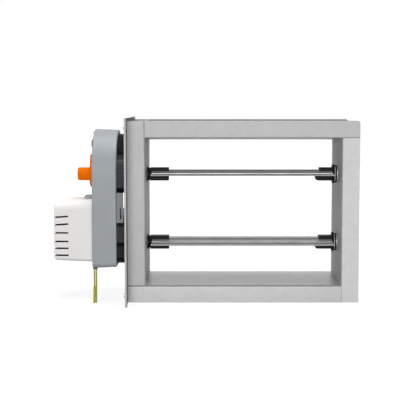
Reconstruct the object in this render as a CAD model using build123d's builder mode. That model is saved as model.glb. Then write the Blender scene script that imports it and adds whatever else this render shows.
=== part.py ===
# Motorised rectangular damper: a channel-rail duct frame with two linked blades, a side plate and
# an actuator that turns the upper blade.
# X runs across the duct, Y with the air flow and Z up. The origin is the centre of the opening in
# the front flange plane.
import os
from math import acos, atan, cos, degrees, pi, radians, sin, sqrt, tan

from build123d import *

os.makedirs("parts", exist_ok=True)

# Duct frame
duct_w = 300.0  # clear width of the opening
duct_h = 225.0  # clear height of the opening
depth = 150.0  # length of the frame along the air flow
flange = 26.5  # height of the duct flanges
sheet = 1.5  # frame and side plate sheet
bend_r = 2.5  # outer radius of a folded edge
top_tip_r = 4.5  # rounded end of the top rail's flanges
tip_r = 1.5  # end corners of the other rails
cleat_leg = 20.0  # legs of the angles that join the rails
cleat_t = 2.0
cleat_w = 60.0
cleat_rivet = 12.0  # rivet line, from the angle's outer corner
rivet_r = 2.4
rivet_pitch = 36.0
rivet_head_r = 4.5
rivet_head_h = 1.8
stop_h = 6.5  # how far the top stop hangs into the opening
stop_leg = 12.0
stop_t = 1.2
stop_inset = 2.6  # from the rear flange face to the stop

# Side plate that closes the left rail and carries the actuator
plate_front = 46.5  # reach in front of the frame
plate_rear = 25.5  # reach behind the frame
plate_top = 4.0  # reach above the frame
hem_w = 12.0  # width of the folded front and rear edges
bracket_leg = 18.0
bracket_t = 2.0
bracket_h = 24.0
bracket_z = 85.0
screw_r = 2.0
screw_head_r = 3.8
screw_head_h = 2.2
hem_rivet_top = 12.4  # from the plate's top edge down to the hem rivets
hem_rivet_bottom = 18.0

# Blades
blade_pitch = 108.0  # distance between the two blade axes
blade_gap = 2.0  # between the closed blades
blade_t = 1.2
blade_low = -0.3  # underside of the blade sheet, measured from its axis
hem_depth = 8.0
ridge_h = 7.0  # crest of the stiffening ridge above the axis
ridge_half = 8.0  # half width of the ridge
ridge_foot = 18.0  # half width over the ridge's two feet
ridge_t = 1.0

# Plastic blade ends, bearings and rings, stacked outward from the blade
wall_in = duct_w / 2
backing_t = 1.2
bearing_flange_t = 2.0
washer_t = 1.2
axial_gap = 0.3  # running gap between washer and blade end
hub_disc_t = 3.0
hub_disc_r = 15.0
jaw_len = 26.5
short_jaw_len = 20.5  # upper jaw of the right blade ends
jaw_half_w = 12.0
jaw_half_h = 10.0
jaw_mouth = 5.0  # underside of the upper jaw above the axis
jaw_nose = 3.4  # rounding at the free end of the right lower jaw
journal_r = 8.0
journal_len = 12.7
running = 0.05  # radial clearance of a running fit
bearing_r = 10.0
bearing_flange_r = 14.0
bearing_reach = 3.5  # bearing sleeve past the frame's web
backing_r = 15.5
washer_r = 13.0
drive_rings_less = 3.5  # the rings on the drive side are smaller, behind the square blade ends
lock_ring_r = 13.5
lock_ring_t = 2.0
ring_gap = 0.3

# Drive shaft and the linkage in the left rail
shaft_r = 6.0
tang = 8.4  # square end of the shaft
shaft_end_r = 5.0
crank_gap = 1.0  # from the end of the journal to the crank
crank_t = 4.0
crank_boss_r = 11.0
crank_boss_len = 9.0
crank_r = 28.0  # from the blade axis to the crank pin
crank_angle = -45.0  # crank direction with the blades open
crank_eye_r = 7.0
pin_r = 3.0
pin_head_r = 5.0
pin_head_t = 1.5
bar_t = 3.0
bar_w = 12.0
bar_gap = 0.3
open_pivot_gap = 0.3  # radial clearance of the tie bar's lower eye
set_screw_r = 2.0

# Actuator
case_gap = 16.1  # from the side plate to the actuator's base
base_t = 3.0
case_t = 37.1  # thickness of base and case together
case_over = 8.0  # how far the case is wider than the standoffs
case_draft = 2.4  # the casting widens away from the side plate
case_bottom = -87.0
case_corner_r = 7.0
case_wall = 2.5
case_rim_r = 1.5
boss_r = 5.0
standoff_inset = 12.0  # from the frame's front and rear planes to the standoffs
standoff_wall = 3.0
upper_standoff_bottom = 28.5
lower_standoff_top = -17.5
lower_standoff_bottom = -79.5
flute_r = 1.3
flute_count = 9
band_low = -54.7  # groove round the lower standoff
band_high = -48.6
band_depth = 4.0
stay_t = 2.0
stay_reach = 10.3  # how far the stay stands out of the base
stay_tab = (-5.3, 5.4)
stay_slot = (-12.5, 5.4)
stay_slot_w = 2.0
stay_slot_in = 5.2  # from the stay's free edge to the slot's far side
stay_foot = 20.0

# Gear train
module = 1.5
output_teeth = 45
pinion_teeth = 15
wheel_teeth = 36
motor_teeth = 12
addendum = 0.8 * module
dedendum = 1.05 * module
backlash = 0.2
pressure_angle = 20.0
output_face = (2.0, 8.0)  # both faces of each gear, measured from the base's inside
pinion_face = (1.5, 11.0)
wheel_face = (11.0, 16.0)
motor_pinion_face = (10.0, 17.0)
axle_r = 3.0
motor_r = 18.5
motor_len = 46.0
motor_shaft_r = 2.0

# White vented cover, board, knob and small fittings
cover_w = 90.0
cover_top = 16.5
cover_bottom = -80.6
cover_depth = 62.5
cover_draft = 2.2
cover_wall = 2.0
cover_top_r = 14.0  # upper edges that run away from the case
cover_low_r = 5.0  # lower ones
cover_crown_r = 5.0  # edges round the outer face
vents = ((-10.4, 4.0), (-22.2, 3.5), (-35.3, 0.0), (-48.7, 0.0), (-59.4, 0.0), (-70.3, 0.0))  # height, tilt
vent_h = 2.6
vent_len = 23.0
vent_wrap = 14.0
board_t = 1.6
board_post = 6.0
board_w = 78.0
board_h = 84.0
part_h = 12.0  # height of the parts on the board
latch_w = 30.0
latch_l = 17.0
latch_h = 3.2
knob_gap = 0.6
knob_disc_r = 20.6
knob_disc_t = 8.2
pointer_reach = 31.0
pointer_r = 5.0
knob_r = 10.3
knob_len = 19.7
plug_r = 9.0
plug_h = 6.4
plug_z = 101.3

# Two short leads under the case
lead_r = 1.25
sleeve_r = 1.7
sleeve_from = 0.48  # where the sleeve starts along its lead
lead_inset = (3.8, 9.5)  # from the case's outer face and front side to the leads
lead_spread = 3.1
grommet_flange = 1.6

axis_y = depth / 2
upper_z = blade_pitch / 2
lower_z = -blade_pitch / 2
standoff_r = axis_y - standoff_inset
case_r = standoff_r + case_over  # rounded top, concentric with the drive shaft
outer_x = duct_w / 2 + flange
outer_z = duct_h / 2 + flange


def save(built, name):
    """Write one finished piece as its own file."""
    built.part.label = name
    export_step(built.part, f"parts/{name}.step")


def across(x, z=0.0, y=0.0):
    """Plane across the X axis: its own x is the depth and its own y is the height."""
    return Plane(origin=(x, y, z), x_dir=(0, 1, 0), z_dir=(1, 0, 0))


def span(side, near, far):
    """Start and thickness of a slice that reaches from near to far on one side of the duct."""
    return min(side * near, side * far), abs(far - near)


def fastener(shank_r, shank_len, head_r, head_h):
    """Round-headed screw or rivet along +Z, with its tip at the origin and its head on top."""
    with BuildPart() as piece:
        Cylinder(shank_r, shank_len, align=(Align.CENTER, Align.CENTER, Align.MIN))
        with Locations((0, 0, shank_len)):
            Cylinder(head_r, head_h, align=(Align.CENTER, Align.CENTER, Align.MIN))
        chamfer(piece.edges().filter_by(GeomType.CIRCLE).sort_by(Axis.Z)[-1], head_h * 0.45)
    return piece.part


# Frame rails
# Each rail starts against the web of the one before it and runs over the next corner.
rails = {
    "top_rail": ((-duct_w / 2, 0, duct_h / 2), (1, 0, 0), (0, 0, 1), duct_w, top_tip_r),
    "right_rail": ((duct_w / 2, 0, duct_h / 2), (0, 0, -1), (1, 0, 0), duct_h, tip_r),
    "bottom_rail": ((duct_w / 2, 0, -duct_h / 2), (-1, 0, 0), (0, 0, -1), duct_w, tip_r),
    "left_rail": ((-duct_w / 2, 0, -duct_h / 2), (0, 0, 1), (-1, 0, 0), duct_h, tip_r),
}
for name, (corner, along, outward, opening, end_r) in rails.items():
    start = Plane(origin=corner, x_dir=(0, 1, 0), z_dir=along)
    web = Plane(origin=corner, x_dir=along, z_dir=outward)
    with BuildPart() as rail:
        with BuildSketch(start) as section:
            with BuildLine():
                Polyline(
                    (0, 0),
                    (depth, 0),
                    (depth, flange),
                    (depth - sheet, flange),
                    (depth - sheet, sheet),
                    (sheet, sheet),
                    (sheet, flange),
                    (0, flange),
                    close=True,
                )
            make_face()
            fillet(section.vertices().group_by(Axis.Y)[1], bend_r - sheet)
            fillet(section.vertices().group_by(Axis.Y)[0], bend_r)
        extrude(amount=opening + flange)
        tip = start.from_local_coords(Vector(depth / 2, flange, opening + flange))
        lips = rail.edges().filter_by(Axis.Y).filter_by(lambda edge: edge.length < 2 * sheet)
        fillet(lips.sort_by_distance(tip)[:2], end_r)
        with BuildSketch(web):
            for rivet_line in (cleat_rivet, opening + sheet + cleat_rivet):
                with Locations((rivet_line, axis_y)):
                    with GridLocations(rivet_pitch, rivet_pitch, 1, 2):
                        Circle(rivet_r)
            if opening == duct_h:
                with Locations((opening / 2, axis_y)):
                    with GridLocations(blade_pitch, blade_pitch, 2, 1):
                        Circle(bearing_r)
        extrude(amount=sheet, mode=Mode.SUBTRACT)
    save(rail, name)

# Corner angles inside the channels, one against each rail's start
with BuildPart() as corner_angles:
    for corner, along, outward, opening, end_r in rails.values():
        side_on = Plane(
            origin=Vector(*corner) + Vector(0, (depth + cleat_w) / 2, 0), x_dir=along, z_dir=(0, -1, 0)
        )
        with BuildSketch(side_on):
            with BuildLine():
                Polyline(
                    (0, sheet),
                    (cleat_leg, sheet),
                    (cleat_leg, sheet + cleat_t),
                    (cleat_t, sheet + cleat_t),
                    (cleat_t, sheet + cleat_leg),
                    (0, sheet + cleat_leg),
                    close=True,
                )
            make_face()
        extrude(amount=cleat_w)
        foot = Plane(origin=corner, x_dir=along, z_dir=outward)
        with BuildSketch(foot.offset(sheet)):
            with Locations((cleat_rivet, axis_y)):
                with GridLocations(rivet_pitch, rivet_pitch, 1, 2):
                    Circle(rivet_r)
        extrude(amount=cleat_t, mode=Mode.SUBTRACT)
        with BuildSketch(Plane(origin=corner, x_dir=(0, 1, 0), z_dir=along)):
            with Locations((axis_y, sheet + cleat_rivet)):
                with GridLocations(rivet_pitch, rivet_pitch, 2, 1):
                    Circle(rivet_r)
        extrude(amount=cleat_t, mode=Mode.SUBTRACT)
save(corner_angles, "corner_angles")

corner_rivet = fastener(rivet_r, sheet + cleat_t, rivet_head_r, rivet_head_h)
rivet_seats = []
for corner, along, outward, opening, end_r in rails.values():
    for shift in (-rivet_pitch / 2, rivet_pitch / 2):
        at = Vector(*corner) + Vector(0, axis_y + shift, 0)
        run = Vector(*along)
        out = Vector(*outward)
        rivet_seats.append(Plane(origin=at + run * cleat_rivet, x_dir=along, z_dir=outward))
        rivet_seats.append(
            Plane(origin=at - run * sheet + out * (sheet + cleat_rivet), x_dir=outward, z_dir=along)
        )
with BuildPart() as corner_rivets:
    with Locations(*rivet_seats):
        add(corner_rivet)
save(corner_rivets, "corner_rivets")

# Stop angle under the top rail, just inside the rear flange
with BuildPart() as top_stop:
    with BuildSketch(across(-duct_w / 2, duct_h / 2, depth - stop_inset)) as stop_section:
        with BuildLine():
            Polyline(
                (0, 0),
                (0, -stop_h),
                (-stop_t, -stop_h),
                (-stop_t, -stop_t),
                (-stop_leg, -stop_t),
                (-stop_leg, 0),
                close=True,
            )
        make_face()
    extrude(amount=duct_w)
save(top_stop, "top_stop")

# Side plate
hem_rivet_spots = [
    (y, z)
    for y in (-plate_front + hem_w / 2, depth + plate_rear - hem_w / 2)
    for z in (outer_z + plate_top - hem_rivet_top, -outer_z + hem_rivet_bottom)
]
bracket_screw_spots = [
    (y, z)
    for y in (sheet + bracket_leg * 0.6, depth - sheet - bracket_leg * 0.6)
    for z in (bracket_z, -bracket_z)
]
upper_boss_spots = [
    (axis_y + side * standoff_r * out, upper_z + standoff_r * up)
    for side in (-1, 1)
    for out, up in ((0.6, -0.25), (0.48, 0.67))
]
lower_mid = (lower_standoff_top + lower_standoff_bottom) / 2
lower_boss_spots = [
    (axis_y + side * standoff_r * 0.76, lower_mid + dz) for side in (-1, 1) for dz in (-20, 20)
]
standoff_spots = upper_boss_spots + lower_boss_spots
stay_y = axis_y - standoff_r
with BuildPart() as side_plate:
    with BuildSketch(Plane.XY.offset(-outer_z)) as plate_section:
        with Locations((-outer_x, -plate_front)):
            Rectangle(sheet, depth + plate_front + plate_rear, align=(Align.MAX, Align.MIN))
        with Locations((-outer_x - sheet, -plate_front)):
            Rectangle(2 * sheet, hem_w, align=(Align.MIN, Align.MIN))
        with Locations((-outer_x - sheet, depth + plate_rear)):
            Rectangle(2 * sheet, hem_w, align=(Align.MIN, Align.MAX))
        fillet(plate_section.vertices().group_by(Axis.Y)[0], sheet * 0.9)
        fillet(plate_section.vertices().group_by(Axis.Y)[-1], sheet * 0.9)
    extrude(amount=2 * outer_z + plate_top)
    with BuildSketch(across(-outer_x - sheet)):
        with Locations((axis_y, upper_z)):
            Circle(shaft_r + 3)
        with Locations(*bracket_screw_spots, *standoff_spots):
            Circle(screw_r)
        with Locations(*hem_rivet_spots):
            Circle(rivet_r)
        with Locations((stay_y + stay_t / 2, sum(stay_tab) / 2)):
            Rectangle(stay_t + 2 * ring_gap, stay_tab[1] - stay_tab[0] + 2 * ring_gap)
    extrude(amount=2 * sheet, mode=Mode.SUBTRACT)
save(side_plate, "side_plate")

hem_rivet = fastener(rivet_r, 2 * sheet, rivet_head_r - 1, 1.5)
with BuildPart() as hem_rivets:
    with Locations(
        *[Plane(origin=(-outer_x + sheet, y, z), x_dir=(0, 1, 0), z_dir=(-1, 0, 0)) for y, z in hem_rivet_spots]
    ):
        add(hem_rivet)
save(hem_rivets, "hem_rivets")

# Angles welded inside the left rail, which take the screws of the side plate
with BuildPart() as plate_brackets:
    for z in (bracket_z, -bracket_z):
        with BuildSketch(Plane.XY.offset(z - bracket_h / 2)):
            with BuildLine():
                Polyline(
                    (-outer_x, sheet),
                    (-outer_x + bracket_leg, sheet),
                    (-outer_x + bracket_leg, sheet + bracket_t),
                    (-outer_x + bracket_t, sheet + bracket_t),
                    (-outer_x + bracket_t, sheet + bracket_leg),
                    (-outer_x, sheet + bracket_leg),
                    close=True,
                )
            make_face()
        extrude(amount=bracket_h)
    mirror(about=Plane.XZ.offset(-axis_y))
    with BuildSketch(across(-outer_x)):
        with Locations(*bracket_screw_spots):
            Circle(screw_r)
    extrude(amount=bracket_t, mode=Mode.SUBTRACT)
save(plate_brackets, "plate_brackets")

plate_screw = fastener(screw_r, sheet + bracket_t, screw_head_r, screw_head_h)
with BuildPart() as plate_screws:
    with Locations(
        *[
            Plane(origin=(-outer_x + bracket_t, y, z), x_dir=(0, 1, 0), z_dir=(-1, 0, 0))
            for y, z in bracket_screw_spots
        ]
    ):
        add(plate_screw)
save(plate_screws, "plate_screws")

# Bearing stack in both side rails: backing ring, flanged bearing, washer and lock ring
flange_out = wall_in - backing_t
washer_out = flange_out - bearing_flange_t
disc_out = washer_out - washer_t - axial_gap
blade_end = disc_out - hub_disc_t
bearing_end = wall_in + sheet + bearing_reach
stack = [(side, z) for side in (-1, 1) for z in (upper_z, lower_z)]


def ring_set(near, far, outer_r, inner_r, less=0.0):
    """One ring at each end of both blade axes, smaller by less on the drive side."""
    with BuildPart() as rings:
        for side, z in stack:
            low, thick = span(side, near, far)
            with BuildSketch(across(low, z, axis_y)):
                Circle(outer_r - (less if side < 0 else 0))
                Circle(inner_r, mode=Mode.SUBTRACT)
            extrude(amount=thick)
    return rings


save(ring_set(flange_out, wall_in, backing_r, bearing_r, drive_rings_less), "backing_rings")
washers = ring_set(washer_out - washer_t, washer_out, washer_r, journal_r + ring_gap, drive_rings_less)
save(washers, "thrust_washers")
save(ring_set(wall_in + sheet, wall_in + sheet + lock_ring_t, lock_ring_r, bearing_r), "lock_rings")
with BuildPart() as blade_bearings:
    for side, z in stack:
        low, thick = span(side, washer_out, flange_out)
        with BuildSketch(across(low, z, axis_y)):
            Circle(bearing_flange_r - (drive_rings_less if side < 0 else 0))
        extrude(amount=thick)
        low, thick = span(side, washer_out, bearing_end)
        with BuildSketch(across(low, z, axis_y)):
            Circle(bearing_r)
        extrude(amount=thick)
        with BuildSketch(across(low, z, axis_y)):
            Circle(journal_r + running)
        extrude(amount=thick, mode=Mode.SUBTRACT)
save(blade_bearings, "blade_bearings")

# Blades: a flat sheet with hemmed edges and a rolled stiffening ridge along its axis
blade_half = (blade_pitch - blade_gap) / 2
blade_top = blade_low + blade_t


def blade_sheet(z):
    """Flat blade sheet with a folded hem along both edges."""
    with BuildPart() as blade:
        with BuildSketch(across(-blade_end, z, axis_y)) as section:
            with Locations((0, blade_low)):
                Rectangle(2 * blade_half, blade_t, align=(Align.CENTER, Align.MIN))
            with Locations((-blade_half, blade_low), (blade_half - hem_depth, blade_low)):
                Rectangle(hem_depth, 2 * blade_t, align=(Align.MIN, Align.MIN))
            fillet(section.vertices().group_by(Axis.X)[0], blade_t * 0.9)
            fillet(section.vertices().group_by(Axis.X)[-1], blade_t * 0.9)
        extrude(amount=2 * blade_end)
    return blade


def blade_ridge(z):
    """Rolled ridge with two feet on the blade sheet."""
    foot_top = blade_top + ridge_t
    with BuildPart() as ridge:
        with BuildSketch(across(-blade_end, z, axis_y)):
            with BuildLine():
                Polyline((-ridge_half, foot_top), (-ridge_foot, foot_top), (-ridge_foot, blade_top))
                Line((-ridge_foot, blade_top), (-ridge_half + ridge_t, blade_top))
                ThreePointArc(
                    (-ridge_half + ridge_t, blade_top), (0, ridge_h - ridge_t), (ridge_half - ridge_t, blade_top)
                )
                Line((ridge_half - ridge_t, blade_top), (ridge_foot, blade_top))
                Polyline((ridge_foot, blade_top), (ridge_foot, foot_top), (ridge_half, foot_top))
                ThreePointArc((ridge_half, foot_top), (0, ridge_h), (-ridge_half, foot_top))
            make_face()
        extrude(amount=2 * blade_end)
    return ridge


def blade_hub(side, z, socket):
    """Plastic blade end: two jaws that grip the blade and the journal that turns in the bearing.

    The right one has a disc, a shorter upper jaw and a rounded lower jaw.
    """
    foot_top = blade_top + ridge_t
    with BuildPart() as hub:
        low, thick = span(side, blade_end - jaw_len, disc_out if side < 0 else blade_end + hub_disc_t / 2)
        with BuildSketch(across(low, z, axis_y)) as jaws:
            Rectangle(2 * jaw_half_w, 2 * jaw_half_h)
            fillet(jaws.vertices().group_by(Axis.Y)[-1], 1.5)
        extrude(amount=thick)
        low, thick = span(side, blade_end - jaw_len, blade_end)
        with BuildSketch(across(low, z, axis_y)):
            with Locations((0, blade_low)):
                Rectangle(2 * jaw_half_w, jaw_mouth - blade_low, align=(Align.CENTER, Align.MIN))
            with BuildLine():
                ThreePointArc((ridge_half, foot_top), (0, ridge_h), (-ridge_half, foot_top))
                Line((-ridge_half, foot_top), (ridge_half, foot_top))
            make_face()
        extrude(amount=thick, mode=Mode.SUBTRACT)
        if side > 0:
            free_end = Vector(blade_end - jaw_len, axis_y, z - jaw_half_h)
            fillet(hub.edges().filter_by(Axis.Y).sort_by_distance(free_end)[0], jaw_nose)
            low, thick = span(side, blade_end - jaw_len, blade_end - short_jaw_len)
            with BuildSketch(across(low, z, axis_y)):
                with Locations((0, blade_low)):
                    Rectangle(2 * jaw_half_w, jaw_half_h - blade_low, align=(Align.CENTER, Align.MIN))
            extrude(amount=thick, mode=Mode.SUBTRACT)
            low, thick = span(side, blade_end, disc_out)
            with BuildSketch(across(low, z, axis_y)):
                Circle(hub_disc_r)
            extrude(amount=thick)
        low, thick = span(side, disc_out, disc_out + journal_len)
        with BuildSketch(across(low, z, axis_y)):
            Circle(journal_r)
        extrude(amount=thick)
        if socket:
            low, thick = span(side, disc_out + axial_gap, disc_out + journal_len)
            with BuildSketch(across(low, z, axis_y)):
                Rectangle(tang, tang)
            extrude(amount=thick, mode=Mode.SUBTRACT)
    return hub


for blade_name, z in (("upper", upper_z), ("lower", lower_z)):
    save(blade_sheet(z), f"{blade_name}_blade")
    save(blade_ridge(z), f"{blade_name}_blade_ridge")
    save(blade_hub(-1, z, True), f"{blade_name}_left_blade_end")
    save(blade_hub(1, z, False), f"{blade_name}_right_blade_end")

# Shafts, cranks and tie bar
socket_in = disc_out + axial_gap
crank_in = disc_out + journal_len + crank_gap
crank_out = crank_in + crank_boss_len
pin_y = crank_r * cos(radians(crank_angle))
pin_z = crank_r * sin(radians(crank_angle))
bar_in = crank_in + crank_t + bar_gap
bar_out = bar_in + bar_t
head_in = bar_out + bar_gap
plate_out = outer_x + sheet
base_in = plate_out + case_gap
base_out = base_in + base_t
case_out = base_in + case_t
knob_in = case_out + knob_gap
knob_disc_out = knob_in + knob_disc_t
knob_out = knob_disc_out + knob_len
shaft_step = base_out + output_face[1] + 1.0
shaft_tip = knob_out - 5.0

with BuildPart() as drive_shaft:
    low, thick = span(-1, socket_in, crank_out)
    with BuildSketch(across(low, upper_z, axis_y)):
        Rectangle(tang, tang)
    extrude(amount=thick)
    low, thick = span(-1, crank_out, shaft_step)
    with BuildSketch(across(low, upper_z, axis_y)):
        Circle(shaft_r)
    extrude(amount=thick)
    low, thick = span(-1, shaft_step, shaft_tip)
    with BuildSketch(across(low, upper_z, axis_y)):
        Circle(shaft_end_r)
    extrude(amount=thick)
    chamfer(drive_shaft.edges().sort_by(Axis.X)[0], 1.0)
save(drive_shaft, "drive_shaft")

with BuildPart() as lower_pivot:
    low, thick = span(-1, socket_in, crank_out + pin_head_t)
    with BuildSketch(across(low, lower_z, axis_y)):
        Rectangle(tang, tang)
    extrude(amount=thick)
save(lower_pivot, "lower_pivot")


def crank(z):
    """Crank arm with a square-bored boss and a clamping screw hole."""
    with BuildPart() as arm:
        low, thick = span(-1, crank_in, crank_in + crank_t)
        with BuildSketch(across(low, z, axis_y)):
            Circle(crank_boss_r)
            with Locations((pin_y, pin_z)):
                Circle(crank_eye_r)
            with Locations(Location((pin_y / 2, pin_z / 2), crank_angle)):
                Rectangle(crank_r, 2 * crank_eye_r)
        extrude(amount=thick)
        low, thick = span(-1, crank_in + crank_t, crank_out)
        with BuildSketch(across(low, z, axis_y)):
            Circle(crank_boss_r)
        extrude(amount=thick)
        low, thick = span(-1, crank_in, crank_out)
        with BuildSketch(across(low, z, axis_y)):
            Rectangle(tang, tang)
            with Locations((pin_y, pin_z)):
                Circle(pin_r)
        extrude(amount=thick, mode=Mode.SUBTRACT)
        with BuildSketch(Plane.XY.offset(z)):
            with Locations((-(crank_in + crank_t + crank_out) / 2, axis_y)):
                Circle(set_screw_r)
        extrude(amount=crank_boss_r + 1, mode=Mode.SUBTRACT)
    return arm


def crank_pin(z):
    """Headed pin, pressed into the crank's eye, on which the tie bar turns."""
    with BuildPart() as pin:
        low, thick = span(-1, crank_in, head_in)
        with BuildSketch(across(low, z + pin_z, axis_y + pin_y)):
            Circle(pin_r)
        extrude(amount=thick)
        low, thick = span(-1, head_in, head_in + pin_head_t)
        with BuildSketch(across(low, z + pin_z, axis_y + pin_y)):
            Circle(pin_head_r)
        extrude(amount=thick)
        chamfer(pin.edges().filter_by(GeomType.CIRCLE).sort_by(Axis.X)[0], 0.4)
    return pin


def crank_screw(z):
    """Socket set screw that clamps the crank on its shaft."""
    with BuildPart() as screw:
        with BuildSketch(Plane.XY.offset(z + tang / 2)):
            with Locations((-(crank_in + crank_t + crank_out) / 2, axis_y)):
                Circle(set_screw_r)
        extrude(amount=crank_boss_r - tang / 2)
        with BuildSketch(Plane.XY.offset(z + crank_boss_r - set_screw_r)):
            with Locations((-(crank_in + crank_t + crank_out) / 2, axis_y)):
                RegularPolygon(set_screw_r * 0.6, 6)
        extrude(amount=set_screw_r, mode=Mode.SUBTRACT)
    return screw


for blade_name, z in (("upper", upper_z), ("lower", lower_z)):
    save(crank(z), f"{blade_name}_crank")
    save(crank_pin(z), f"{blade_name}_crank_pin")
    save(crank_screw(z), f"{blade_name}_crank_screw")

with BuildPart() as tie_bar:
    low, thick = span(-1, bar_in, bar_out)
    with BuildSketch(across(low, pin_z, axis_y + pin_y)):
        SlotCenterToCenter(blade_pitch, bar_w, rotation=90)
        with Locations((0, upper_z)):
            Circle(pin_r + running, mode=Mode.SUBTRACT)
        with Locations((0, lower_z)):
            Circle(pin_r + open_pivot_gap, mode=Mode.SUBTRACT)
    extrude(amount=thick)
save(tie_bar, "tie_bar")

# Black standoffs between the side plate and the actuator
with BuildPart() as upper_standoff:
    low, thick = span(-1, plate_out, base_in)
    with BuildSketch(across(low)) as dome:
        with Locations((axis_y, upper_z)):
            Circle(standoff_r)
            for first in (160.0, -20.0):
                with PolarLocations(standoff_r, flute_count, first, 45.0):
                    Circle(flute_r, mode=Mode.SUBTRACT)
        with Locations((axis_y, upper_standoff_bottom)):
            Rectangle(3 * standoff_r, 3 * standoff_r, align=(Align.CENTER, Align.MAX), mode=Mode.SUBTRACT)
    extrude(amount=thick)
    with BuildSketch(across(low)):
        with Locations((axis_y, upper_z)):
            Circle(standoff_r - standoff_wall)
        with Locations((axis_y, upper_standoff_bottom + standoff_wall)):
            Rectangle(3 * standoff_r, 3 * standoff_r, align=(Align.CENTER, Align.MAX), mode=Mode.SUBTRACT)
        with Locations((axis_y, upper_z)):
            Circle(shaft_r + 5, mode=Mode.SUBTRACT)
        with Locations(*upper_boss_spots):
            Circle(boss_r, mode=Mode.SUBTRACT)
    extrude(amount=thick - standoff_wall, mode=Mode.SUBTRACT)
    with BuildSketch(across(low)):
        with Locations((axis_y, upper_z)):
            Circle(shaft_r + 1)
        with Locations(*upper_boss_spots):
            Circle(screw_r)
    extrude(amount=thick, mode=Mode.SUBTRACT)
save(upper_standoff, "upper_standoff")

with BuildPart() as lower_standoff:
    low, thick = span(-1, plate_out, base_in)
    with BuildSketch(across(low)) as block:
        with Locations((axis_y, lower_mid)):
            Rectangle(2 * standoff_r, lower_standoff_top - lower_standoff_bottom)
        fillet(block.vertices(), 3.0)
        with Locations((axis_y - standoff_r, band_low), (axis_y + standoff_r, band_low)):
            Rectangle(
                2 * band_depth, band_high - band_low, align=(Align.CENTER, Align.MIN), mode=Mode.SUBTRACT
            )
    extrude(amount=thick)
    with BuildSketch(across(low)) as hollow:
        with Locations((axis_y, lower_mid)):
            Rectangle(
                2 * (standoff_r - band_depth - standoff_wall),
                lower_standoff_top - lower_standoff_bottom - 2 * standoff_wall,
            )
        with Locations(*lower_boss_spots):
            Circle(boss_r, mode=Mode.SUBTRACT)
    extrude(amount=thick - standoff_wall, mode=Mode.SUBTRACT)
    with BuildSketch(across(low)):
        with Locations(*lower_boss_spots):
            Circle(screw_r)
    extrude(amount=thick, mode=Mode.SUBTRACT)
save(lower_standoff, "lower_standoff")

standoff_screw = fastener(screw_r, sheet + case_gap, screw_head_r, screw_head_h)
with BuildPart() as standoff_screws:
    with Locations(
        *[Plane(origin=(-base_in, y, z), x_dir=(0, 1, 0), z_dir=(1, 0, 0)) for y, z in standoff_spots]
    ):
        add(standoff_screw)
save(standoff_screws, "standoff_screws")

# Stay: a folded grey bracket on the actuator's base with a tab in the side plate's slot
with BuildPart() as torque_stay:
    with BuildSketch(Plane.XZ.offset(-stay_y)):
        with Locations((-base_in, lower_standoff_top)):
            Rectangle(
                stay_reach, upper_standoff_bottom - lower_standoff_top, align=(Align.MIN, Align.MIN)
            )
        with Locations((-base_in, stay_tab[0])):
            Rectangle(base_in - outer_x + 1, stay_tab[1] - stay_tab[0], align=(Align.MIN, Align.MIN))
        with Locations((-base_in + stay_reach - stay_slot_in, stay_slot[0])):
            Rectangle(
                stay_slot_w, stay_slot[1] - stay_slot[0], align=(Align.MIN, Align.MIN), mode=Mode.SUBTRACT
            )
    extrude(amount=-stay_t)
    with BuildSketch(across(-base_in)):
        with Locations((stay_y, lower_standoff_top)):
            Rectangle(
                stay_foot, upper_standoff_bottom - lower_standoff_top, align=(Align.MIN, Align.MIN)
            )
    extrude(amount=stay_t)
save(torque_stay, "torque_stay")


# Actuator base and case share one outline: a rounded top over straight sides
def case_outline(inset=0.0):
    """Outline of the actuator, drawn inward by inset."""
    r = case_r - inset
    with BuildSketch(mode=Mode.PRIVATE) as outline:
        with Locations((axis_y, upper_z)):
            Circle(r)
        with Locations((axis_y, upper_z)):
            Rectangle(2 * r, upper_z - case_bottom - inset, align=(Align.CENTER, Align.MAX))
        fillet(outline.vertices().group_by(Axis.Y)[0], case_corner_r - inset)
    return outline.sketch


screw_line = case_r - 6.0
top_head_h = 3.4  # the top screw has a taller head
sunk_screw_spots = [
    (axis_y + side * screw_line * cos(radians(angle)), upper_z + screw_line * sin(radians(angle)))
    for side in (-1, 1)
    for angle in (19.0,)
] + [(axis_y + side * (screw_line - 1.0), case_bottom + 7.0) for side in (-1, 1)]
top_screw_spot = (axis_y, upper_z + screw_line)
case_screw_spots = [top_screw_spot, *sunk_screw_spots]
layshaft_z = upper_z - module * (output_teeth + pinion_teeth) / 2
motor_z = layshaft_z - module * (wheel_teeth + motor_teeth) / 2
bush_r = shaft_r + 3
end_bush_r = shaft_end_r + 3
grommet_len = 7.2
grommet_w = 5.2
grommet_neck = 0.8
cover_mid = (cover_top + cover_bottom) / 2
board_post_spots = [
    (axis_y + side_y * (board_w / 2 - 5), cover_mid + side_z * (board_h / 2 - 5))
    for side_y in (-1, 1)
    for side_z in (-1, 1)
]
lead_exit = (-case_out + lead_inset[0], axis_y - case_r + lead_inset[1])
case_shrink = (case_out - base_out) * tan(radians(case_draft))

with BuildPart() as case_base:
    with BuildSketch(across(-base_out)):
        add(case_outline(case_shrink))
        with Locations((axis_y, upper_z)):
            Circle(bush_r, mode=Mode.SUBTRACT)
        with Locations((axis_y, layshaft_z)):
            Circle(axle_r, mode=Mode.SUBTRACT)
        with Locations(*case_screw_spots):
            Circle(screw_r, mode=Mode.SUBTRACT)
    extrude(amount=base_t)
    chamfer(case_base.faces().sort_by(Axis.X)[-1].outer_wire().edges(), 1.0)
save(case_base, "case_base")

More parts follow.
